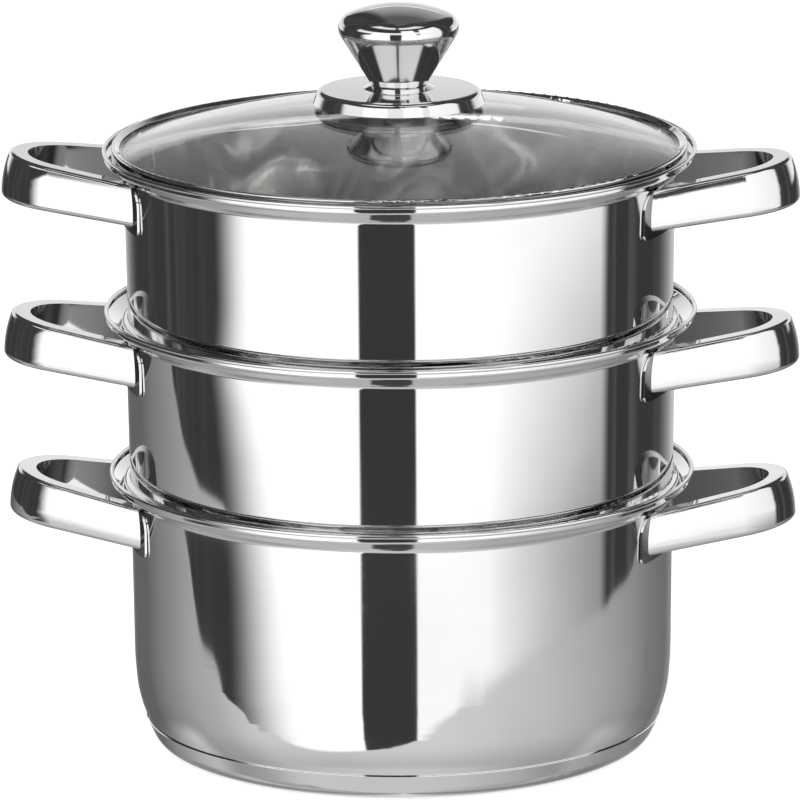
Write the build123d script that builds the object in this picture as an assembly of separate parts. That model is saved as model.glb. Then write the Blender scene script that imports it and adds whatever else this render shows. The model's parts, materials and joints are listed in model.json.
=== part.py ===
from build123d import *
from math import asin, atan2, cos, hypot, pi, radians, sin, sqrt, tan
import os

# Three-tier steamer pot: a stockpot with a sandwich base, two perforated steamers that nest
# in the flared lip of what is below them, and a domed glass lid with a steel rim band and a
# hollow knob. Every vessel has two hollow loop handles on curved brackets.
# Millimetres, +Z up, origin at the centre of the base's underside, handles on the X axis.

# Vessel walls, measured to the outside
pot_wall_radius = 119.6
pot_rim_radius = 128.9
pot_rim_height = 123.0
pot_wall = 0.8
pot_wall_draft = 0.9
pot_shoulder_height = 37.8
pot_shoulder_round = 150.0
pot_hip_inset = 1.4
pot_hip_height = 22.2
pot_hip_round = 50.0
pot_corner_round = 8.5
steamer_wall_radius = 120.8
steamer_rim_radius = 130.3
steamer_wall = 0.8
steamer_wall_draft = 1.0
steamer_side = 79.3

# Flared lip, the same form on every vessel
lip_depth = 9.1
lip_band = 1.9
lip_bead = 1.9
lip_outset = 0.6
lip_root_fillet = 2.5
lip_shoulder_fillet = 1.6

# Nesting bead and perforated spigot under each steamer
seat_gap = 0.3
nest_bead = 4.0
nest_bead_reach = 2.6
nest_bead_round = 1.9
nest_bead_root = 0.6
spigot_clearance = 0.9
spigot_depth = 11.0
spigot_corner = 4.0
steam_hole = 8.0
steam_ring_pitch = 21.0
steam_rings = 4
steam_holes_per_ring = 6

# Sandwich base under the pot
cap_wall = 0.5
cap_corner_radius = 108.5
cap_corner_round = 10.0
cap_top = 12.0
cap_top_radius = 114.0
core_thickness = 5.7
lay_gap = 0.1

# Side handles, one hollow loop on a curved bracket each
handle_reach = 51.0
handle_root_half = 41.0
handle_splay = 20.8
handle_drop = 9.5
steamer_handle_rise = 7.6
pot_handle_rise = 10.0
handle_height = 18.2
handle_flare = 2.7
handle_bulge = 1.1
handle_low_spread = 2.0
handle_low_reach = 3.8
handle_top_width = 7.6
handle_low_width = 9.0
handle_wall = 0.9
handle_top_round = 2.0
handle_low_round = 2.6
bracket_thick = 0.9
bracket_half = 52.0
bracket_top_drop = 10.9
bracket_low_margin = 3.5
bracket_top_corner = 9.0
bracket_low_corner = 3.0
weld_gap = 0.05
middle_share = 0.5

# Glass lid and its rim band
band_radius = 126.0
band_wall = 0.8
band_height = 7.7
band_foot = 3.2
band_foot_round = 1.05
band_lap = 3.4
band_ridge_round = 1.0
glass_thick = 3.6
glass_fit = 0.1
glass_flange = 3.6
glass_rise = 19.8
glass_bore_clearance = 0.5
vent_bore_radius = 2.4
vent_barrel_wall = 0.5
vent_flange_radius = 5.5
vent_flange_thick = 0.7
vent_place_radius = 105.0
vent_place_angle = 50.6

# Knob, the disc under it and what fastens them through the glass
disc_low_radius = 37.6
disc_lift = 2.2
disc_top_radius = 35.5
disc_height = 5.8
disc_edge_round = 3.0
disc_crown = 0.4
disc_hub_foot_radius = 15.6
disc_hub_radius = 12.5
disc_hub_height = 1.3
disc_hub_round = 1.2
disc_wall = 0.8
knob_base_radius = 12.0
knob_brow_radius = 26.4
knob_brow_round = 6.5
knob_crown_round = 58.0
knob_height = 35.8
knob_wall = 0.8
stack_fit = 0.1
insert_radius = 6.0
insert_height = 16.0
insert_flange = 3.0
insert_flange_thick = 1.5
screw_radius = 2.5
screw_reach = 10.0
screw_head_radius = 5.5
screw_head_height = 3.6
screw_head_round = 1.6
screw_slot = 1.4
screw_slot_depth = 1.8
washer_radius = 11.0
washer_thick = 1.5
gasket_thick = 1.5
gasket_radius = 12.0
thread_fit = 0.1

# One overrun for every cut
overrun = 5.0


def save(shape, node):
    """Write one node's solids to parts/NODE.step."""
    shape.label = node
    export_step(shape, f"parts/{node}.step")


def turned(section):
    """Turn a section drawn as (radius, height) about the Z axis."""
    return revolve(Plane.XZ * section, Axis.Z)


def sheet(line, wall):
    """Thicken an open outline to the left of its direction, which is the inside here."""
    return make_face(offset(line, wall, side=Side.LEFT, closed=True))


def ring(inner_radius, outer_radius, low, high):
    """Plain ring or, with no inner radius, a plain disc between two heights."""
    width = outer_radius - inner_radius
    section = Rectangle(width, high - low, align=(Align.MIN, Align.MIN))
    return turned(Pos(inner_radius, low) * section)


def sag(round_radius, radius):
    """Drop of a dome of this round radius at a distance from its axis."""
    return round_radius - sqrt(round_radius**2 - radius**2)


class Lip:
    """Flared lip of one vessel: its corner points and the seat inside it."""

    def __init__(self, wall_radius, rim_radius, rim_height, wall):
        self.wall_radius = wall_radius
        self.rim_radius = rim_radius
        self.rim_height = rim_height
        self.root_height = rim_height - lip_depth
        self.band_radius = rim_radius - lip_outset
        self.band_low = rim_height - lip_bead - lip_band
        self.bead_height = rim_height - lip_bead / 2
        run = self.band_radius - wall_radius
        self.slope = atan2(self.band_low - self.root_height, run)
        self.mouth_radius = wall_radius - wall
        lift = wall * (1 - sin(self.slope)) / cos(self.slope)
        self.mouth_height = self.root_height + lift

    def corners(self):
        """Outer corner points from the top of the wall to the rolled rim."""
        return [
            (self.wall_radius, self.root_height),
            (self.band_radius, self.band_low),
            (self.band_radius, self.bead_height),
        ]

    def bead(self):
        """Section of the rolled rim."""
        return Pos(self.rim_radius - lip_bead / 2, self.bead_height) * Circle(lip_bead / 2)

    def rest_height(self, radius, ball):
        """Height of the centre of a round foot that rests on the flare with the seat gap."""
        climb = (radius - self.mouth_radius) * sin(self.slope)
        return self.mouth_height + (ball + seat_gap + climb) / cos(self.slope)


class SteamerSizes:
    """Heights of one steamer that nests in the lip below it."""

    def __init__(self, seat):
        foot = seat.rest_height(nest_radius - nest_bead_round, nest_bead_round)
        self.bead_low = foot - nest_bead_round
        self.floor = self.bead_low - spigot_depth
        self.lip = Lip(
            steamer_wall_radius,
            steamer_rim_radius,
            self.bead_low + steamer_side,
            steamer_wall,
        )


# Stack of the vessels
pot_lip = Lip(pot_wall_radius, pot_rim_radius, pot_rim_height, pot_wall)
steamer_low_radius = steamer_wall_radius - steamer_wall_draft
nest_radius = steamer_low_radius + nest_bead_reach
lower = SteamerSizes(pot_lip)
upper = SteamerSizes(lower.lip)
spigot_radius = pot_lip.mouth_radius - spigot_clearance

# Base of the pot
pot_floor = cap_wall + core_thickness + 2 * lay_gap
cap_lean = atan2(cap_top_radius - cap_corner_radius, cap_top)

# Lid stack, from the rim band's foot up to the knob
band_foot_centre = band_radius - band_foot_round
band_low = upper.lip.rest_height(band_foot_centre, band_foot_round) - band_foot_round
band_top = band_low + band_height
glass_edge_radius = band_radius - band_wall - glass_fit
glass_edge_low = band_low + band_wall + glass_fit
glass_edge_top = glass_edge_low + glass_thick
glass_top = glass_edge_top + glass_rise
glass_low = glass_top - glass_thick
dome_foot_radius = glass_edge_radius - glass_flange
dome_round = (dome_foot_radius**2 + glass_rise**2) / (2 * glass_rise)
glass_bore = screw_radius + glass_bore_clearance
disc_low = glass_top - sag(dome_round, disc_low_radius) + disc_lift
disc_shoulder = disc_low + disc_height + disc_crown
hub_top = disc_shoulder + disc_hub_height
knob_base = hub_top + stack_fit
knob_top = knob_base + knob_height


def pot_body():
    """Deep-drawn pot: flat floor, corner that opens in three bends, and flared lip."""
    lap = (cap_wall + lay_gap) / cos(cap_lean)
    hip_radius = pot_wall_radius - pot_wall_draft - pot_hip_inset
    hip_run = hip_radius - (cap_top_radius - lap)
    floor_radius = hip_radius - hip_run * (pot_hip_height - pot_floor) / (pot_hip_height - cap_top)
    line = FilletPolyline(
        (0, pot_floor),
        (floor_radius, pot_floor),
        (hip_radius, pot_hip_height),
        (pot_wall_radius - pot_wall_draft, pot_shoulder_height),
        *pot_lip.corners(),
        radius=[
            pot_corner_round,
            pot_hip_round,
            pot_shoulder_round,
            lip_root_fillet,
            lip_shoulder_fillet,
        ],
    )
    return turned(sheet(line, pot_wall) + pot_lip.bead())


def base_cap():
    """Thin steel cap pressed over the aluminium core, with its edge on the pot's corner."""
    line = FilletPolyline(
        (0, 0),
        (cap_corner_radius, 0),
        (cap_top_radius, cap_top),
        radius=cap_corner_round,
    )
    return turned(sheet(line, cap_wall))


def base_core():
    """Aluminium heat spreader between the pot's floor and the cap."""
    inset = cap_wall + lay_gap
    corner = cap_corner_radius - inset * (1 / cos(cap_lean) - tan(cap_lean))
    edge_top = (cap_top_radius - inset / cos(cap_lean), cap_top)
    edge = FilletPolyline(
        (0, inset),
        (corner, inset),
        edge_top,
        radius=cap_corner_round - inset,
    )
    blank = turned(make_face(edge + Polyline(edge_top, (0, cap_top), (0, inset))))
    return blank - ring(0, cap_top_radius, inset + core_thickness, cap_top + overrun)


def steam_holes(floor):
    """Cutters for the rings of steam holes through a steamer's floor."""
    hole = Pos(0, 0, floor - overrun) * Cylinder(
        steam_hole / 2, steamer_wall + 2 * overrun, align=(Align.CENTER, Align.CENTER, Align.MIN)
    )
    cutters = [hole]
    for number in range(1, steam_rings + 1):
        count = number * steam_holes_per_ring
        cutters += [place * hole for place in PolarLocations(number * steam_ring_pitch, count)]
    return cutters


def steamer_body(sizes):
    """Steamer: perforated spigot, rolled nesting bead, drafted wall and flared lip."""
    line = FilletPolyline(
        (0, sizes.floor),
        (spigot_radius, sizes.floor),
        (spigot_radius, sizes.bead_low),
        (nest_radius, sizes.bead_low),
        (nest_radius, sizes.bead_low + nest_bead),
        (steamer_low_radius, sizes.bead_low + nest_bead),
        *sizes.lip.corners(),
        radius=[
            spigot_corner,
            nest_bead_root,
            nest_bead_round,
            nest_bead_round,
            nest_bead_root,
            lip_root_fillet,
            lip_shoulder_fillet,
        ],
    )
    body = turned(sheet(line, steamer_wall) + sizes.lip.bead())
    return body - steam_holes(sizes.floor)


def handle_plane(lip, rise, depth_share):
    """Plane across a handle at a share of its height, hinged at the wall and rising outwards."""
    drop = handle_drop + depth_share * handle_height
    angle = radians(rise - depth_share * handle_flare)
    return Plane(
        origin=(lip.wall_radius, 0, lip.rim_height - drop),
        x_dir=(cos(angle), 0, sin(angle)),
        z_dir=(-sin(angle), 0, cos(angle)),
    )


def loop_outline(half, reach, inset, back):
    """Plan of a handle at one height: splayed arms that run into one round nose."""
    splay = radians(handle_splay)
    centre = (reach - half * cos(splay)) / (1 - sin(splay))
    nose = reach - centre - inset
    meet = (centre + nose * sin(splay), nose * cos(splay))
    root = meet[1] + (meet[0] + back) * tan(splay)
    arms = Polyline((meet[0], -meet[1]), (-back, -root), (-back, root), meet)
    return make_face(arms + ThreePointArc(meet, (centre + nose, 0), (meet[0], -meet[1])))


def handle_section(lip, rise, depth_share, inset, back):
    """Outline of a handle across one of its slanted planes, from its top, 0, to its bottom, 1."""
    outline = loop_outline(
        handle_root_half + depth_share * handle_low_spread,
        handle_reach + depth_share * handle_low_reach,
        inset,
        back,
    )
    return handle_plane(lip, rise, depth_share) * outline


def rim_edges(shape, plane, lip):
    """Edges of a handle that lie in a plane, clear of the ones hidden by the wall."""
    flat = [edge for edge in shape.edges() if abs(plane.to_local_coords(edge @ 0.5).Z) < weld_gap]
    return [edge for edge in flat if (edge @ 0.5).X > lip.wall_radius]


def handle_solid(lip, rise, skin):
    """Loop handle with a swelling side; a skin more than zero gives the hollow inside it."""
    back = overrun + lip.wall_radius - sqrt(lip.wall_radius**2 - bracket_half**2)
    top_share = skin / handle_height
    low_share = 1 - top_share
    block = loft([
        handle_section(lip, rise, low_share, skin, back),
        handle_section(lip, rise, middle_share, skin - handle_bulge, back),
        handle_section(lip, rise, top_share, skin, back),
    ])
    for share, edge_round in ((low_share, handle_low_round), (top_share, handle_top_round)):
        plane = handle_plane(lip, rise, share)
        block = fillet(rim_edges(block, plane, lip), edge_round - skin)
    return block - handle_opening(lip, rise, skin)


def handle_opening(lip, rise, skin):
    """Cutter for the finger gap, a wall's thickness wider for the hollow."""
    back = lip.wall_radius - sqrt(lip.wall_radius**2 - bracket_half**2)
    beyond = overrun / handle_height
    return loft([
        handle_section(lip, rise, 1 + beyond, handle_low_width - skin, back),
        handle_section(lip, rise, -beyond, handle_top_width - skin, back),
    ])


def handle_loop(lip, rise):
    """Hollow pressed handle, open where its two arms meet the bracket."""
    shell = handle_solid(lip, rise, 0) - handle_solid(lip, rise, handle_wall)
    clear = lip.wall_radius + 2 * weld_gap + bracket_thick
    return shell - ring(0, clear, lip.rim_height - pot_rim_height, lip.rim_height)


def handle_bracket(lip):
    """Curved plate between a handle's arms and the wall, with rounded corners."""
    high = lip.rim_height - bracket_top_drop
    low = lip.rim_height - handle_drop - handle_height - bracket_low_margin
    inner = lip.wall_radius + weld_gap
    outer = inner + bracket_thick
    wrap = ring(inner, outer, low, high)
    plate = make_face(
        FilletPolyline(
            (0, low),
            (bracket_half, low),
            (bracket_half, high),
            (0, high),
            radius=[bracket_low_corner, bracket_top_corner],
        )
        + Line((0, high), (0, low))
    )
    plate += mirror(plate, Plane.YZ)
    window = extrude(Plane.YZ * plate, outer + overrun)
    return wrap & window


def lid_glass(vent):
    """Domed glass with a flat edge flange, a centre bore and a vent bore."""
    foot = (dome_foot_radius, glass_edge_top)
    mid_radius = dome_foot_radius / 2
    mid = (mid_radius, glass_top - sag(dome_round, mid_radius))
    low_round = dome_round - glass_thick
    low_foot_radius = sqrt(low_round**2 - (low_round - glass_rise) ** 2)
    low_mid_radius = low_foot_radius / 2
    low_mid = (low_mid_radius, glass_low - sag(low_round, low_mid_radius))
    section = make_face(
        ThreePointArc((0, glass_top), mid, foot)
        + Polyline(
            foot,
            (glass_edge_radius, glass_edge_top),
            (glass_edge_radius, glass_edge_low),
            (low_foot_radius, glass_edge_low),
        )
        + ThreePointArc((low_foot_radius, glass_edge_low), low_mid, (0, glass_low))
        + Line((0, glass_low), (0, glass_top))
    )
    bore = ring(0, glass_bore, glass_low - overrun, glass_top + overrun)
    barrel = Cylinder(vent_bore_radius + vent_barrel_wall + stack_fit, glass_rise)
    return turned(section) - bore - vent * barrel


def lid_rim():
    """Steel band crimped round the glass: flat foot, wall, ridge and a lap down to the glass."""
    line = FilletPolyline(
        (band_radius - band_foot, band_low),
        (band_radius, band_low),
        (band_radius, band_top),
        (band_radius - band_lap, glass_edge_top + glass_fit + band_wall),
        radius=[band_foot_round, band_ridge_round],
    )
    return turned(sheet(line, band_wall))


def vent_place():
    """Frame on the glass at the vent, with Z square to the dome."""
    turn = radians(vent_place_angle)
    lean = asin(vent_place_radius / dome_round)
    height = glass_top - sag(dome_round, vent_place_radius)
    return Plane(
        origin=(vent_place_radius * cos(turn), vent_place_radius * sin(turn), height),
        z_dir=(sin(lean) * cos(turn), sin(lean) * sin(turn), cos(lean)),
    )


def vent_grommet(place):
    """Steel eyelet in the vent bore, flanged above and rolled out below the glass."""
    barrel = vent_bore_radius + vent_barrel_wall
    low = -glass_thick - stack_fit
    eyelet = (
        ring(vent_bore_radius, vent_flange_radius, stack_fit, stack_fit + vent_flange_thick)
        + ring(vent_bore_radius, barrel, low, stack_fit)
        + ring(vent_bore_radius, vent_flange_radius, low - vent_flange_thick, low)
    )
    return place * eyelet


def knob_disc():
    """Pressed disc under the knob, held clear of the glass at its edge."""
    line = FilletPolyline(
        (disc_low_radius, disc_low),
        (disc_top_radius, disc_low + disc_height),
        (disc_hub_foot_radius, disc_shoulder),
        (disc_hub_radius, hub_top),
        (glass_bore, hub_top),
        radius=[disc_edge_round, disc_hub_round, disc_hub_round],
    )
    return turned(sheet(line, disc_wall))


def knob_shell():
    """Hollow knob: cone up to a round brow under a shallow crown."""
    brow_radius = knob_brow_radius - knob_brow_round
    crown_centre = knob_top - knob_crown_round
    reach = knob_crown_round - knob_brow_round
    brow_height = crown_centre + sqrt(reach**2 - brow_radius**2)
    run = brow_radius - knob_base_radius
    climb = brow_height - knob_base
    swing = asin(knob_brow_round / hypot(run, climb))
    facing = atan2(climb, run) - pi / 2 - swing
    crown_tilt = asin(brow_radius / reach)
    brow_low = polar(brow_radius, brow_height, knob_brow_round, facing)
    brow_mid = polar(brow_radius, brow_height, knob_brow_round, 0)
    brow_high = polar(0, crown_centre, knob_crown_round, pi / 2 - crown_tilt)
    crown_mid = polar(0, crown_centre, knob_crown_round, pi / 2 - crown_tilt / 2)
    line = (
        Polyline((insert_radius + stack_fit, knob_base), (knob_base_radius, knob_base), brow_low)
        + ThreePointArc(brow_low, brow_mid, brow_high)
        + ThreePointArc(brow_high, crown_mid, (0, knob_top))
    )
    return turned(sheet(line, knob_wall))


def polar(radius, height, reach, angle):
    """Point at a distance and angle from a centre in a section."""
    return (radius + reach * cos(angle), height + reach * sin(angle))


def knob_insert():
    """Threaded bush held in the knob's base by its flange."""
    flange_low = knob_base + knob_wall + stack_fit
    bore = screw_radius + thread_fit
    return ring(bore, insert_radius, knob_base, knob_base + insert_height) + ring(
        bore, insert_radius + insert_flange, flange_low, flange_low + insert_flange_thick
    )


def knob_gasket_top():
    """Silicone ring between the glass and the disc's hub."""
    return ring(glass_bore, gasket_radius, glass_top + stack_fit, hub_top - disc_wall - stack_fit)


def under_glass(radius):
    """Height just below the glass where a flat ring of this radius fits."""
    return glass_low - sag(dome_round - glass_thick, radius) - stack_fit


def knob_gasket_bottom():
    """Silicone ring under the glass."""
    high = under_glass(gasket_radius)
    return ring(glass_bore, gasket_radius, high - gasket_thick, high)


def knob_washer():
    """Steel washer under the lower silicone ring."""
    high = under_glass(gasket_radius) - gasket_thick - stack_fit
    return ring(glass_bore, washer_radius, high - washer_thick, high)


def knob_screw():
    """Slotted pan-head screw from below the glass into the knob's bush."""
    seat = under_glass(gasket_radius) - gasket_thick - washer_thick - 2 * stack_fit
    head = ring(0, screw_head_radius, seat - screw_head_height, seat - stack_fit)
    low_edge = head.edges().group_by(Axis.Z)[0]
    head = fillet(low_edge, screw_head_round)
    shaft = ring(0, screw_radius, seat - screw_head_height, knob_base + screw_reach)
    slot = Pos(0, 0, seat - screw_head_height) * Box(
        2 * screw_head_radius + overrun, screw_slot, 2 * screw_slot_depth
    )
    return head + shaft - slot


def save_handles(name, lip, rise):
    """Write both handles and brackets of one vessel."""
    loop = handle_loop(lip, rise)
    bracket = handle_bracket(lip)
    save(mirror(loop, Plane.YZ), f"{name}_handle_left")
    save(loop, f"{name}_handle_right")
    save(mirror(bracket, Plane.YZ), f"{name}_bracket_left")
    save(bracket, f"{name}_bracket_right")


os.makedirs("parts", exist_ok=True)
save(pot_body(), "pot_body")
save(base_core(), "base_core")
save(base_cap(), "base_cap")
save(steamer_body(lower), "lower_steamer_body")
save(steamer_body(upper), "upper_steamer_body")
save_handles("pot", pot_lip, pot_handle_rise)
save_handles("lower_steamer", lower.lip, steamer_handle_rise)
save_handles("upper_steamer", upper.lip, steamer_handle_rise)
vent = vent_place()
save(lid_glass(vent.location), "lid_glass")
save(lid_rim(), "lid_rim")
save(vent_grommet(vent.location), "vent_grommet")
save(knob_disc(), "knob_disc")
save(knob_shell(), "knob_shell")
save(knob_insert(), "knob_insert")
save(knob_gasket_top(), "knob_gasket_top")
save(knob_gasket_bottom(), "knob_gasket_bottom")
save(knob_washer(), "knob_washer")
save(knob_screw(), "knob_screw")
print("rims", pot_rim_height, lower.lip.rim_height, upper.lip.rim_height, "top", knob_top)
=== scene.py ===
"""Looks and studio of a three-tier steamer pot: polished steel vessels, glass lid, hollow handles."""

import json
import math

import bmesh
import bpy
from mathutils import Matrix, Vector

MM = 0.001
BLACK = (0.0, 0.0, 0.0, 1.0)

# Camera, fitted to the photograph's rim ellipses and silhouettes
PHOTO_SIDE = 800
CAMERA_TARGET = Vector((0, 0, 152.5 * MM))
CAMERA_DISTANCE = 3.75
CAMERA_HEIGHT_ANGLE = math.radians(13.1)
CAMERA_TURN = math.radians(4.5)
CAMERA_ROLL = math.radians(0.4)
CAMERA_FOCUS_PX = 8510.6
CAMERA_CENTRE_PX = 401.1
CAMERA_CLIP = (0.1, 60.0)
SENSOR = 36.0

# Polished steel: noise scales per metre, and the noise levels between which each mark fades in
CLOUD_SCALE = 14.0
CLOUD_TONE = (0.35, 0.70)
CLOUD_HAZE = (0.40, 0.75)
CLOUD_DARKER = 0.93
FINE_SCALE = 420.0
FINE_STRETCH = (1.0, 1.0, 6.0)
FINE_ROUGHNESS = 0.012
FINE_HEIGHT = 0.002
WIPE_SCALE = 60.0
WIPE_STRETCH = (1.0, 1.0, 5.0)
WIPE_TURN = (0.2, 0.1, 0.0)
WIPE_SHOWS = (0.56, 0.72)
WIPE_CLOUD = (0.42, 0.66)
WIPE_HAZE = 1.2
ROLL_SCALE = 9.0
ROLL_STRETCH = (1.0, 1.0, 0.6)
STEEL_BUMP = 0.35
STEEL_BUMP_DEPTH = 0.6 * MM
# Painted shade on the bracket: facing limits of the faces that look along X or Z and get a dark tone, and
# their added roughness
PAINTED_SHADE_FACING = (0.3, 0.6)
BROAD_FACE_ROUGHNESS = 0.1

# Inner faces of the vessels, told from the outer ones by where they face
FLOOR_RADIUS = 112 * MM
FLOOR_RADIUS_FADE = 2 * MM
FLOOR_FACES_UP = (0.5, 0.7)
# Share of the way from the inside's dark tone to its light one where the inner floor lies; the darkness is
# painted shade
FLOOR_SHADE_MIX = 0.6
FLARE_FACES_UP = (0.15, 0.30)
RIM_FACES_UP = (0.95, 0.90)
WALL_FACES_IN = (0.1, 0.3)
POOL_SCALE = 20.0
POOL_STRETCH = (1.0, 1.0, 0.8)
POOL_TURN = (0.3, 0.0, 0.4)
POOL_TONE = (0.40, 0.60)
INNER_WIPE_ROUGHNESS = 0.05
INNER_ROLL = 15.0 * MM

# Studio tent seen only in reflections, in metres
TENT_RADIUS = 0.9
TENT_LOW = -1.2
TENT_HIGH = 1.45
TENT_SEGMENTS = 96

# Light in the tent. Angles are in degrees from the front, + towards +X, and heights in millimetres.
# A pair tells where something starts and where it is full, and a list gives points of a curve.
PANEL_LIGHT = 1.25
PANEL_TOP_FADE = 45.0
LEFT_PANEL_DARK = [(-200, -71), (-140, -71), (-62, -75), (-20, -78), (20, -75)]
LEFT_PANEL_WHITE = [(-200, -36), (-140, -40), (-62, -48), (-20, -57.5), (20, -56)]
LEFT_PANEL_TOP = [(-75, 305), (-51, 448), (-49.7, 484), (-48.5, 540), (-46, 800)]
LEFT_PANEL_END = (-11.3, -12.3)
RIGHT_PANEL_TOP = [(37, 1200), (39, 480), (46, 455), (48, 800), (50, 1200)]
RIGHT_PANEL_START = (9.7, 10.7)
RIGHT_PANEL_END = (97.0, 91.0)
RIGHT_FALL_FROM = 39.0
RIGHT_FALL = 0.0134
RIGHT_FALL_PER_MM = 0.000105
RIGHT_FALL_LIMITS = (0.004, 0.024)
LOW_RIGHT_LOSS = 0.13
LOW_RIGHT_BELOW = (-60.0, -120.0)
UPPER_STRIP = 0.95
UPPER_STRIP_FROM = (565, 600)
UPPER_STRIP_TO = (880, 790)
UPPER_STRIP_ENDS = (86, 80)

# Ceiling of the tent: its light lies between two radii in metres, over the front half
CEILING_LIGHT = 0.85
CEILING_ABOVE = (1400.0, 1440.0)
CEILING_NEAR = (0.34, 0.40)
CEILING_FAR = (0.78, 0.70)
CEILING_ENDS = (90.0, 80.0)
CEILING_GAP = (2.0, 9.0)

# Room behind the panels, its back wall and the thin bright line on it
ROOM_DARK = 0.045
STREAK_LIGHT = 0.05
STREAK_SCALE = 5.0
STREAK_STRETCH = (1.0, 1.0, 0.05)
STREAK_SHOWS = (0.46, 0.68)
STREAK_START = (70.0, 100.0)
BACK_LIGHT = [(200, 1.05), (640, 0.52), (680, 0.42), (1250, 0.07)]
BACK_START = (118.0, 132.0)
BACK_LOW = (200.0, 240.0)
BACK_HIGH = (560.0, 500.0)
STRAIGHT_BEHIND = (163.0, 169.0)
LOW_BACK_LIGHT = 0.6
LOW_BACK_START = (132.0, 172.0)
LOW_BACK_TOP = (200.0, 160.0)
HORIZON_LINE = 1.6
HORIZON_LINE_WIDTH = (11, 3)
HORIZON_LINE_AT = [(162, 505), (165, 572), (168, 615), (174, 632), (180, 648)]
HORIZON_LINE_LEFT = (-162.0, -165.0)
HORIZON_LINE_RIGHT = (171.0, 175.0)

# Table below, with its edge as the pot and as the lower steamer see it
TABLE_LIGHT = [
    (-180, 0.42), (-150, 0.13), (-130, 0.14), (-103, 0.32), (-89, 0.44), (-79, 0.48), (-60, 0.70),
    (-50, 0.73), (20, 0.72), (38, 0.69), (62, 0.59), (90, 0.455), (113, 0.32), (128, 0.22),
    (150, 0.17), (180, 0.42),
]
TABLE_FALL = [(-1200, 0.90), (-960, 0.76), (-440, 1.0)]
SIDE_TABLE_GAIN = 0.5
LEFT_TABLE_GAIN = 0.75
SIDE_TABLE_BELOW = (-350.0, -550.0)
SIDE_TABLE_START = (92.0, 108.0)
LEFT_TABLE_START = (-90.0, -110.0)
CAMERA_GAP = (11.0, 9.0)
CAMERA_GAP_LOSS = 0.88
SECOND_BOUNCE = (1.4, 1.6)
POT_ZONE_TOP = (-100.0, -102.0)
POT_TABLE_EDGE = [
    (-97, -95), (-88, -155), (-75, -185), (-64, -280), (-52, -375), (-42, -530), (-24, -590),
    (8, -420), (25, -215), (38, -175), (97, -145), (114, -130), (126, -100),
]
POT_TABLE_FADE = [
    (-72, 4), (-60, 14), (-44, 110), (-13, 70), (-11, 12), (8, 12), (12, 100), (27, 50), (44, 12), (63, 4),
]
MIDDLE_ZONE_TOP = (-12.0, -14.0)
MIDDLE_TABLE_EDGE = [(-102, -10), (-100, -32), (-94, -60), (-85, -80), (-72, -88), (-66, -105), (175, -105)]
MIDDLE_TABLE_FADE = (3.0, -3.0)

# Floor, world and lamps
FLOOR_LIFT = 0.62
FLOOR_HALF_SIZE = 12.0
WORLD_LIGHT = 0.55
LAMP_SIDE = 1.6


class Value:
    """A number socket whose operators add Math nodes."""

    def __init__(self, graph, socket):
        self.graph = graph
        self.socket = socket

    def _math(self, operation, *values):
        made = self.graph.node("ShaderNodeMath", {"operation": operation}, list(values))
        return Value(self.graph, made.outputs[0])

    def __add__(self, other):
        return self._math("ADD", self, other)

    __radd__ = __add__

    def __sub__(self, other):
        return self._math("SUBTRACT", self, other)

    def __rsub__(self, other):
        return self._math("SUBTRACT", other, self)

    def __mul__(self, other):
        return self._math("MULTIPLY", self, other)

    __rmul__ = __mul__

    def __truediv__(self, other):
        return self._math("DIVIDE", self, other)

    def __rtruediv__(self, other):
        return self._math("DIVIDE", other, self)

    def __pow__(self, other):
        return self._math("POWER", self, other)

    def __rpow__(self, other):
        return self._math("POWER", other, self)

    def size(self):
        return self._math("ABSOLUTE", self)

    def least(self, other):
        return self._math("MINIMUM", self, other)

    def most(self, other):
        return self._math("MAXIMUM", self, other)

    def angle_to(self, other):
        return self._math("ARCTAN2", self, other)

    def clamped(self):
        return self.most(0.0).least(1.0)

    def eased(self):
        """A share of 0 to 1 with a smooth start and end."""
        return self * self * (3.0 - 2.0 * self)

    def step(self, low, high):
        """0 below low, 1 above high and a smooth rise between; low above high falls instead."""
        settings = {"interpolation_type": "SMOOTHSTEP"}
        made = self.graph.node(
            "ShaderNodeMapRange", settings, {0: self, 1: low, 2: high, 3: 0.0, 4: 1.0}
        )
        return Value(self.graph, made.outputs[0])


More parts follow.
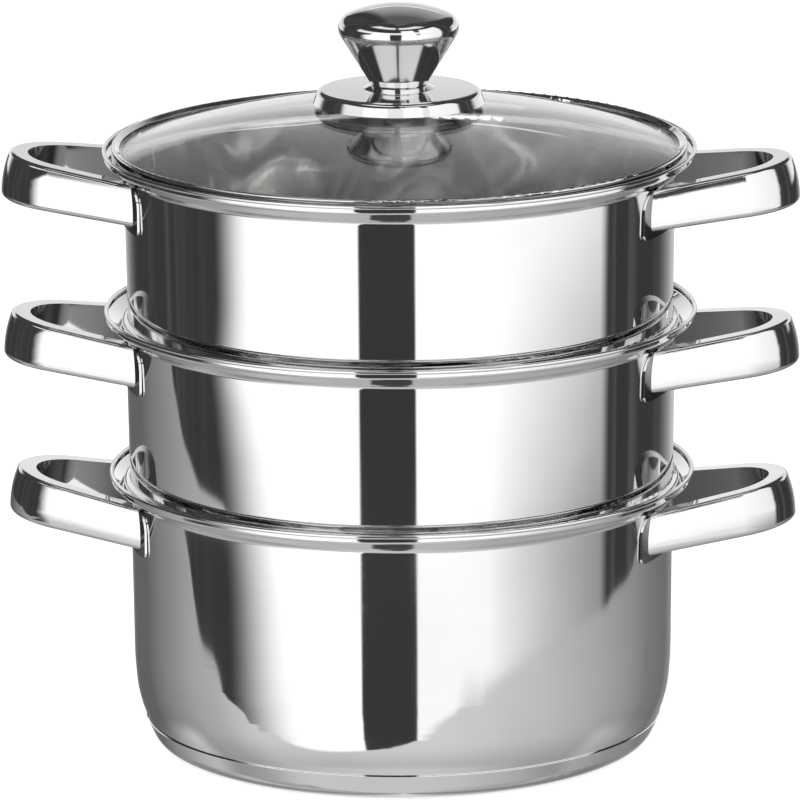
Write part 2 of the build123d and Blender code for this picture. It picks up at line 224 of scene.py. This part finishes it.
class Graph:
    """Node tree of one material or of the world."""

    def __init__(self, owner):
        owner.use_nodes = True
        self.tree = owner.node_tree
        self.tree.nodes.clear()

    def node(self, kind, settings=None, inputs=None):
        """Add a node, set its settings first and then its sockets' values or links."""
        made = self.tree.nodes.new(kind)
        for name, value in (settings or {}).items():
            if name == "stops":
                self.fill_ramp(made.color_ramp, value)
            elif name == "runs":
                made.color_ramp.interpolation = value
            else:
                setattr(made, name, value)
        given = enumerate(inputs) if isinstance(inputs, list) else (inputs or {}).items()
        for name, value in given:
            if isinstance(value, Value):
                value = value.socket
            if isinstance(value, bpy.types.NodeSocket):
                self.tree.links.new(value, made.inputs[name])
            else:
                made.inputs[name].default_value = value
        return made

    def fill_ramp(self, ramp, stops):
        """Replace a ramp's stops by grey ones, given as (position, level) in rising order."""
        ramp.elements.remove(ramp.elements[-1])
        for number, (position, level) in enumerate(stops):
            element = ramp.elements.new(position) if number else ramp.elements[0]
            element.position = position
            element.color = (level, level, level, 1.0)

    def curve(self, value, points, runs="LINEAR"):
        """Runs through (value, result) points, level beyond the first and the last."""
        first, last = points[0][0], points[-1][0]
        low = min(result for _, result in points)
        span = max(result for _, result in points) - low
        stops = [((at - first) / (last - first), (result - low) / span) for at, result in points]
        share = (value - first) / (last - first)
        made = self.node("ShaderNodeValToRGB", {"stops": stops, "runs": runs}, {0: share})
        return Value(self, made.outputs[0]) * span + low

    def place(self, scale=(1, 1, 1), turn=(0, 0, 0)):
        """Object coordinates, stretched and turned."""
        where = self.node("ShaderNodeTexCoord").outputs["Object"]
        mapped = self.node("ShaderNodeMapping", {}, {"Vector": where, "Scale": scale, "Rotation": turn})
        return mapped.outputs[0]

    def parts(self, vector):
        """The three values of a vector."""
        made = self.node("ShaderNodeSeparateXYZ", {}, [vector])
        return [Value(self, socket) for socket in made.outputs]

    def axes(self):
        """Object coordinates as three values."""
        return self.parts(self.node("ShaderNodeTexCoord").outputs["Object"])

    def faces(self):
        """Direction that the surface faces, as three values."""
        return self.parts(self.node("ShaderNodeNewGeometry").outputs["Normal"])

    def light_path(self, name):
        """One of the facts about the light's path, such as how often it was reflected."""
        return Value(self, self.node("ShaderNodeLightPath").outputs[name])

    def inside(self):
        """Shares of a round vessel's inner wall below its flared lip, and of its floor."""
        x, y, _ = self.axes()
        across, along, up = self.faces()
        radius = (x * x + y * y) ** 0.5
        inward = -1.0 * (x * across + y * along) / radius
        floor = up.step(*FLOOR_FACES_UP) * radius.step(FLOOR_RADIUS + FLOOR_RADIUS_FADE, FLOOR_RADIUS)
        flare = up.step(*FLARE_FACES_UP) * up.step(*RIM_FACES_UP)
        return inward.step(*WALL_FACES_IN) * (1.0 - flare), floor

    def noise(self, scale, detail, rough, where=None):
        """Noise of the given scale per metre, on Object coordinates unless where gives others."""
        inputs = {"Scale": scale, "Detail": detail, "Roughness": rough, "Vector": where or self.place()}
        return Value(self, self.node("ShaderNodeTexNoise", {}, inputs).outputs[0])

    def blend(self, factor, first, second):
        """Mix of two colours, each a socket or its red, green and blue."""
        mixed = [(*colour, 1.0) if isinstance(colour, tuple) else colour for colour in (first, second)]
        made = self.node("ShaderNodeMix", {"data_type": "RGBA"}, {0: factor, 6: mixed[0], 7: mixed[1]})
        return made.outputs[2]

    def lean(self, factor, first, second):
        """Mix of two normals."""
        made = self.node("ShaderNodeMix", {"data_type": "VECTOR"}, {0: factor, 4: first, 5: second})
        return made.outputs[1]

    def bump(self, height, strength, distance):
        """Normal of a surface with the given relief."""
        made = self.node(
            "ShaderNodeBump", {}, {"Height": height, "Strength": strength, "Distance": distance}
        )
        return made.outputs[0]

    def surface(self, inputs):
        """Principled surface as the material's output."""
        shader = self.node("ShaderNodeBsdfPrincipled", {}, inputs)
        self.node("ShaderNodeOutputMaterial", {}, {"Surface": shader.outputs[0]})


def material(name):
    """New material and its graph; Object coordinates are in metres."""
    made = bpy.data.materials.new(name)
    return made, Graph(made)


def polished_steel(name, tone, rough, haze, waviness, seed, inner=None, painted_shade_tone=None):
    """Mirror-polished stainless steel: faint haze, wipe marks and rolling waviness.

    With inner, two tones and a roughness, a vessel's inner wall and floor are satin and uneven in random
    patches, and darker than the outside as painted shade.
    A last tone, if given, is painted shade on the faces that look along X or Z, which also get rougher.
    """
    made, graph = material(name)
    cloud = graph.noise(CLOUD_SCALE, 3.0, 0.55, graph.place(turn=(seed, seed * 1.7, 0.0)))
    fine = graph.noise(FINE_SCALE, 2.0, 0.6, graph.place(scale=FINE_STRETCH))
    wipe = graph.noise(WIPE_SCALE, 4.0, 0.6, graph.place(scale=WIPE_STRETCH, turn=WIPE_TURN))
    roll = graph.noise(ROLL_SCALE, 1.0, 0.4, graph.place(scale=ROLL_STRETCH, turn=(0.0, 0.0, seed)))
    marks = wipe.step(*WIPE_SHOWS) * cloud.step(*WIPE_CLOUD)
    darker = tuple(part * CLOUD_DARKER for part in tone)
    colour = graph.blend(cloud.step(*CLOUD_TONE), darker, tone)
    roughness = rough + haze * (cloud.step(*CLOUD_HAZE) + WIPE_HAZE * marks) + FINE_ROUGHNESS * fine
    normal = graph.bump(roll * waviness + fine * FINE_HEIGHT, STEEL_BUMP, STEEL_BUMP_DEPTH)
    if painted_shade_tone:
        # Painted shade: faces that look along X or Z take the dark tone, standing in for the dark they
        # mirror
        edge = graph.faces()[1].size().step(*PAINTED_SHADE_FACING)
        colour = graph.blend(edge, painted_shade_tone, colour)
        roughness = roughness + BROAD_FACE_ROUGHNESS * (1.0 - edge)
    if inner:
        inner_dark_shade, inner_light, inner_rough = inner
        wall, floor = graph.inside()
        inside = wall.most(floor)
        pools = graph.noise(POOL_SCALE, 1.0, 0.4, graph.place(scale=POOL_STRETCH, turn=POOL_TURN))
        patches = pools.step(*POOL_TONE) * (1.0 - floor) + FLOOR_SHADE_MIX * floor
        # Painted shade: the inside is darker than the outside, in random patches, and the floor at a fixed
        # level
        inner_patches_and_shade = graph.blend(patches, inner_dark_shade, inner_light)
        colour = graph.blend(inside, colour, inner_patches_and_shade)
        roughness = roughness + inside * (inner_rough + INNER_WIPE_ROUGHNESS * wipe)
        rolled = graph.bump(pools, 1.0, INNER_ROLL)
        normal = graph.lean(wall * (1.0 - floor), normal, rolled)
    graph.surface({"Base Color": colour, "Metallic": 1.0, "Roughness": roughness, "Normal": normal})
    return made


def grained_metal(name, dark, light, tone_scale, grain_scale, grain_stretch, rough, grain_bump):
    """Satin or rolled metal with a grain that is drawn out along one axis."""
    made, graph = material(name)
    grain = graph.noise(grain_scale, 3.0, 0.6, graph.place(scale=grain_stretch))
    cloud = graph.noise(tone_scale, 3.0, 0.5) if tone_scale else grain
    graph.surface({
        "Base Color": graph.blend(cloud, dark, light),
        "Metallic": 1.0,
        "Roughness": rough + 0.14 * grain,
        "Normal": graph.bump(grain, grain_bump, 0.05 * MM),
    })
    return made


def silicone(name):
    """Milky silicone of the rings under the knob."""
    made, graph = material(name)
    cloud = graph.noise(160.0, 4.0, 0.6)
    fine = graph.noise(1500.0, 2.0, 0.5)
    graph.surface({
        "Base Color": graph.blend(cloud, (0.66, 0.67, 0.66), (0.78, 0.79, 0.78)),
        "Roughness": 0.42 + 0.12 * cloud,
        "Subsurface Weight": 0.2,
        "Subsurface Radius": (0.9 * MM, 0.9 * MM, 0.8 * MM),
        "Normal": graph.bump(fine, 0.2, 0.03 * MM),
    })
    return made


def toughened_glass(name):
    """Slightly grey toughened glass with faint wipe marks."""
    made, graph = material(name)
    cloud = graph.noise(82.0, 4.0, 0.6)
    wave = graph.noise(37.0, 1.0, 0.4)
    graph.surface({
        "Base Color": graph.blend(cloud, (0.76, 0.775, 0.77), (0.81, 0.82, 0.815)),
        "Roughness": 0.01 * cloud.step(0.45, 0.8),
        "IOR": 1.5,
        "Transmission Weight": 1.0,
        "Normal": graph.bump(wave, 0.05, 0.05 * MM),
    })
    return made


def dress_nodes():
    """Give every CAD node its finish."""
    knob = polished_steel(
        "knob_steel", tone=(0.84, 0.835, 0.83), rough=0.05, haze=0.03, waviness=0.2, seed=4.0
    )
    by_slot = {
        "polished_steel": polished_steel(
            "polished_steel", tone=(0.86, 0.86, 0.865), rough=0.03, haze=0.035, waviness=0.3, seed=0.0,
            # inner tones: the darker one is painted shade inside the vessels
            inner=((0.34, 0.34, 0.335), (0.86, 0.86, 0.84), 0.05),
        ),
        "base_steel": polished_steel(
            "base_steel", tone=(0.87, 0.87, 0.875), rough=0.06, haze=0.05, waviness=0.2, seed=5.0
        ),
        "handle_steel": polished_steel(
            "handle_steel", tone=(0.84, 0.84, 0.845), rough=0.05, haze=0.04, waviness=0.3, seed=1.0
        ),
        "bracket_steel": polished_steel(
            "bracket_steel", tone=(0.84, 0.84, 0.845), rough=0.06, haze=0.05, waviness=0.2, seed=3.0,
            # painted shade on the faces that look along X or Z
            painted_shade_tone=(0.18, 0.18, 0.185),
        ),
        "core_aluminium": grained_metal(
            "core_aluminium", dark=(0.62, 0.62, 0.63), light=(0.76, 0.76, 0.77), tone_scale=None,
            grain_scale=700.0, grain_stretch=(1.0, 0.05, 1.0), rough=0.34, grain_bump=0.3,
        ),
        "fastener_steel": grained_metal(
            "fastener_steel", dark=(0.50, 0.50, 0.51), light=(0.66, 0.66, 0.67), tone_scale=90.0,
            grain_scale=900.0, grain_stretch=(1.0, 1.0, 0.1), rough=0.26, grain_bump=0.25,
        ),
        "lid_glass": toughened_glass("lid_glass"),
        "silicone": silicone("silicone"),
    }
    special = {
        "lid_rim": polished_steel(
            "lid_rim_steel", tone=(0.84, 0.84, 0.845), rough=0.04, haze=0.03, waviness=0.2, seed=2.0
        ),
        "knob_shell": knob,
        "knob_disc": knob,
        "vent_grommet": knob,
    }
    slots = {part["node"]: part["material_slot"] for part in frame["record"]["subparts"]}
    for node, obj in frame["nodes"].items():
        obj.data.materials.clear()
        obj.data.materials.append(special.get(node, by_slot[slots[node]]))


def new_object(name, bm):
    """Turn a bmesh into an object in the scene."""
    mesh = bpy.data.meshes.new(name)
    bm.to_mesh(mesh)
    bm.free()
    made = bpy.data.objects.new(name, mesh)
    bpy.context.scene.collection.objects.link(made)
    return made


def below_edge(graph, height, angle, edge):
    """1 below an edge given by angle and height, 0 above it, with a soft change between."""
    above = height - graph.curve(angle, edge)
    return above.step(0.5 * PANEL_TOP_FADE, -0.5 * PANEL_TOP_FADE)


def panel_light(graph, angle, height):
    """Panels left and right of the dark gap that the camera stands in, and a strip above them."""
    dark = graph.curve(height, LEFT_PANEL_DARK)
    white = graph.curve(height, LEFT_PANEL_WHITE)
    left = ((angle - dark) / (white - dark)).clamped().eased()
    left = left * angle.step(*LEFT_PANEL_END) * below_edge(graph, height, angle, LEFT_PANEL_TOP)
    least_fall, most_fall = RIGHT_FALL_LIMITS
    fall = (RIGHT_FALL - RIGHT_FALL_PER_MM * height).least(most_fall).most(least_fall)
    right = math.e ** (-1.0 * fall * (angle - RIGHT_FALL_FROM).most(0.0))
    right = right * angle.step(*RIGHT_PANEL_START) * angle.step(*RIGHT_PANEL_END)
    right = right * (1.0 - LOW_RIGHT_LOSS * height.step(*LOW_RIGHT_BELOW))
    right = right * below_edge(graph, height, angle, RIGHT_PANEL_TOP)
    upper = height.step(*UPPER_STRIP_FROM) * height.step(*UPPER_STRIP_TO)
    upper = UPPER_STRIP * upper * angle.size().step(*UPPER_STRIP_ENDS)
    return (PANEL_LIGHT * (left + right)).most(upper)


def ceiling_light(radius, angle, height):
    """Light over the front half, open above the camera."""
    ring = height.step(*CEILING_ABOVE) * radius.step(*CEILING_NEAR) * radius.step(*CEILING_FAR)
    return CEILING_LIGHT * ring * angle.size().step(*CEILING_ENDS) * angle.size().step(*CEILING_GAP)


def back_light(graph, angle, height):
    """Back wall, lit towards the horizon, with a bright line, and the dim room in front of it."""
    aside = angle.size()
    wall = aside.step(*BACK_START) * height.step(*BACK_LOW)
    wall = wall * height.step(*BACK_HIGH).most(aside.step(*STRAIGHT_BEHIND))
    wall = wall * graph.curve(height, BACK_LIGHT)
    line = (height - graph.curve(aside, HORIZON_LINE_AT)).size().step(*HORIZON_LINE_WIDTH)
    line = line * angle.step(*HORIZON_LINE_LEFT).most(angle.step(*HORIZON_LINE_RIGHT))
    low = aside.step(*LOW_BACK_START) * height.step(*LOW_BACK_TOP)
    streaks = graph.noise(STREAK_SCALE, 3.0, 0.6, graph.place(scale=STREAK_STRETCH))
    streaks = streaks.step(*STREAK_SHOWS) * aside.step(*STREAK_START)
    return ROOM_DARK + LOW_BACK_LIGHT * low + STREAK_LIGHT * streaks + wall + HORIZON_LINE * line


def table_light(graph, angle, height):
    """Table, lighter towards the front and dark in the camera's gap when steel mirrors steel."""
    table = graph.curve(angle, TABLE_LIGHT) * graph.curve(height, TABLE_FALL)
    gap = angle.size().step(*CAMERA_GAP) * graph.light_path("Ray Depth").step(*SECOND_BOUNCE)
    table = table * (1.0 - CAMERA_GAP_LOSS * gap)
    low_side = height.step(*SIDE_TABLE_BELOW) * angle.size().step(*SIDE_TABLE_START)
    gain = SIDE_TABLE_GAIN + LEFT_TABLE_GAIN * angle.step(*LEFT_TABLE_START)
    return table * (1.0 + low_side * gain)


def table_share(graph, angle, height):
    """Where the table hides the studio: its edge lies elsewhere for the pot and for what is above."""
    pot_zone = height.step(*POT_ZONE_TOP)
    pot_edge = graph.curve(angle, POT_TABLE_EDGE, "CARDINAL")
    pot_table = ((pot_edge - height) / graph.curve(angle, POT_TABLE_FADE) + 0.5).step(0.0, 1.0)
    middle_zone = height.step(*MIDDLE_ZONE_TOP) * (1.0 - pot_zone)
    middle_table = (height - graph.curve(angle, MIDDLE_TABLE_EDGE)).step(*MIDDLE_TABLE_FADE)
    return (pot_zone * pot_table).most(middle_zone * middle_table)


def tent_light():
    """Brightness of the studio as the steel sees it, by angle and height."""
    made, graph = material("studio_tent")
    x, y, z = graph.axes()
    angle = x.angle_to(-1.0 * y) * math.degrees(1.0)
    height = z / MM
    radius = (x * x + y * y) ** 0.5
    studio = panel_light(graph, angle, height) + ceiling_light(radius, angle, height)
    studio = studio + back_light(graph, angle, height)
    share = table_share(graph, angle, height)
    graph.surface({
        "Base Color": BLACK,
        "Specular IOR Level": 0.0,
        "Roughness": 1.0,
        "Emission Color": studio * (1.0 - share) + table_light(graph, angle, height) * share,
        "Emission Strength": 1.0,
    })
    return made


def build_tent():
    """Light tent round the object: only reflections see it."""
    bm = bmesh.new()
    bmesh.ops.create_cone(
        bm,
        cap_ends=True,
        cap_tris=False,
        segments=TENT_SEGMENTS,
        radius1=TENT_RADIUS,
        radius2=TENT_RADIUS,
        depth=TENT_HIGH - TENT_LOW,
    )
    bmesh.ops.translate(bm, verts=bm.verts, vec=(0, 0, (TENT_HIGH + TENT_LOW) / 2))
    tent = new_object("studio_tent", bm)
    tent.data.materials.append(tent_light())
    tent.visible_camera = False
    tent.visible_diffuse = False
    tent.visible_transmission = False
    tent.visible_volume_scatter = False
    tent.visible_shadow = False


def build_floor():
    """Pale floor that shows white to the camera and keeps the object's shadow."""
    bm = bmesh.new()
    bmesh.ops.create_grid(bm, x_segments=1, y_segments=1, size=FLOOR_HALF_SIZE)
    floor = new_object("floor", bm)
    made, graph = material("floor")
    cloud = graph.noise(0.125, 3.0, 0.5)
    seen = graph.light_path("Is Camera Ray").most(graph.light_path("Is Transmission Ray"))
    graph.surface({
        "Base Color": graph.blend(cloud, (0.80, 0.80, 0.80), (0.83, 0.83, 0.83)),
        "Roughness": 0.9,
        "Specular IOR Level": 0.0,
        "Emission Color": FLOOR_LIFT * seen,
        "Emission Strength": 1.0,
    })
    floor.data.materials.append(made)
    floor.visible_glossy = False


def build_world():
    """White background for the camera, glass and reflections, soft grey light for the rest."""
    world = bpy.data.worlds.new("studio")
    bpy.context.scene.world = world
    graph = Graph(world)
    seen = graph.light_path("Is Camera Ray").most(graph.light_path("Is Transmission Ray"))
    seen = seen.most(graph.light_path("Is Glossy Ray"))
    level = WORLD_LIGHT + (1.0 - WORLD_LIGHT) * seen
    back = graph.node("ShaderNodeBackground", {}, {"Color": level, "Strength": 1.0})
    graph.node("ShaderNodeOutputWorld", {}, {"Surface": back.outputs[0]})


def add_lamp(name, place, power):
    """Soft square lamp that looks at the object and isn't seen in reflections."""
    data = bpy.data.lights.new(name, "AREA")
    data.shape = "SQUARE"
    data.size = LAMP_SIDE
    data.energy = power
    lamp = bpy.data.objects.new(name, data)
    lamp.location = place
    lamp.rotation_mode = "QUATERNION"
    lamp.rotation_quaternion = (Vector(place) - CAMERA_TARGET).to_track_quat("Z", "Y")
    lamp.visible_glossy = False
    lamp.visible_camera = False
    bpy.context.scene.collection.objects.link(lamp)


def build_camera():
    """Camera at the photograph's angle and framing."""
    turn, rise = CAMERA_TURN, CAMERA_HEIGHT_ANGLE
    away = Vector((math.sin(turn) * math.cos(rise), -math.cos(turn) * math.cos(rise), math.sin(rise)))
    right = Vector((0, 0, 1)).cross(away).normalized()
    up = away.cross(right)
    rolled_right = right * math.cos(CAMERA_ROLL) - up * math.sin(CAMERA_ROLL)
    rolled_up = right * math.sin(CAMERA_ROLL) + up * math.cos(CAMERA_ROLL)
    data = bpy.data.cameras.new("camera")
    data.sensor_width = SENSOR
    data.lens = CAMERA_FOCUS_PX * SENSOR / PHOTO_SIDE
    data.shift_x = (PHOTO_SIDE / 2 - CAMERA_CENTRE_PX) / PHOTO_SIDE
    data.clip_start, data.clip_end = CAMERA_CLIP
    camera = bpy.data.objects.new("camera", data)
    axes = Matrix((rolled_right, rolled_up, away)).transposed().to_4x4()
    axes.translation = CAMERA_TARGET + away * CAMERA_DISTANCE
    camera.matrix_world = axes
    bpy.context.scene.collection.objects.link(camera)
    bpy.context.scene.camera = camera


with open("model.json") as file:
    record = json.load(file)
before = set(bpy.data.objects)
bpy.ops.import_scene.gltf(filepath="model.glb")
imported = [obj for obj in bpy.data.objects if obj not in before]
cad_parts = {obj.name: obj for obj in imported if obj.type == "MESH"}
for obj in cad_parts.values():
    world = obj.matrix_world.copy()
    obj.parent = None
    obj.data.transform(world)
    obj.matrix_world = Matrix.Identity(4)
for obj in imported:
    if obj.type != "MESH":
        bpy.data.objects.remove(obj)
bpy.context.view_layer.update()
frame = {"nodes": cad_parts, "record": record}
bpy.context.scene.view_settings.view_transform = "Standard"
build_camera()
dress_nodes()
build_tent()
build_floor()
build_world()
add_lamp("key_lamp", (-1.2, -1.6, 2.4), power=26.0)
add_lamp("fill_lamp", (1.8, -1.0, 1.6), power=10.0)
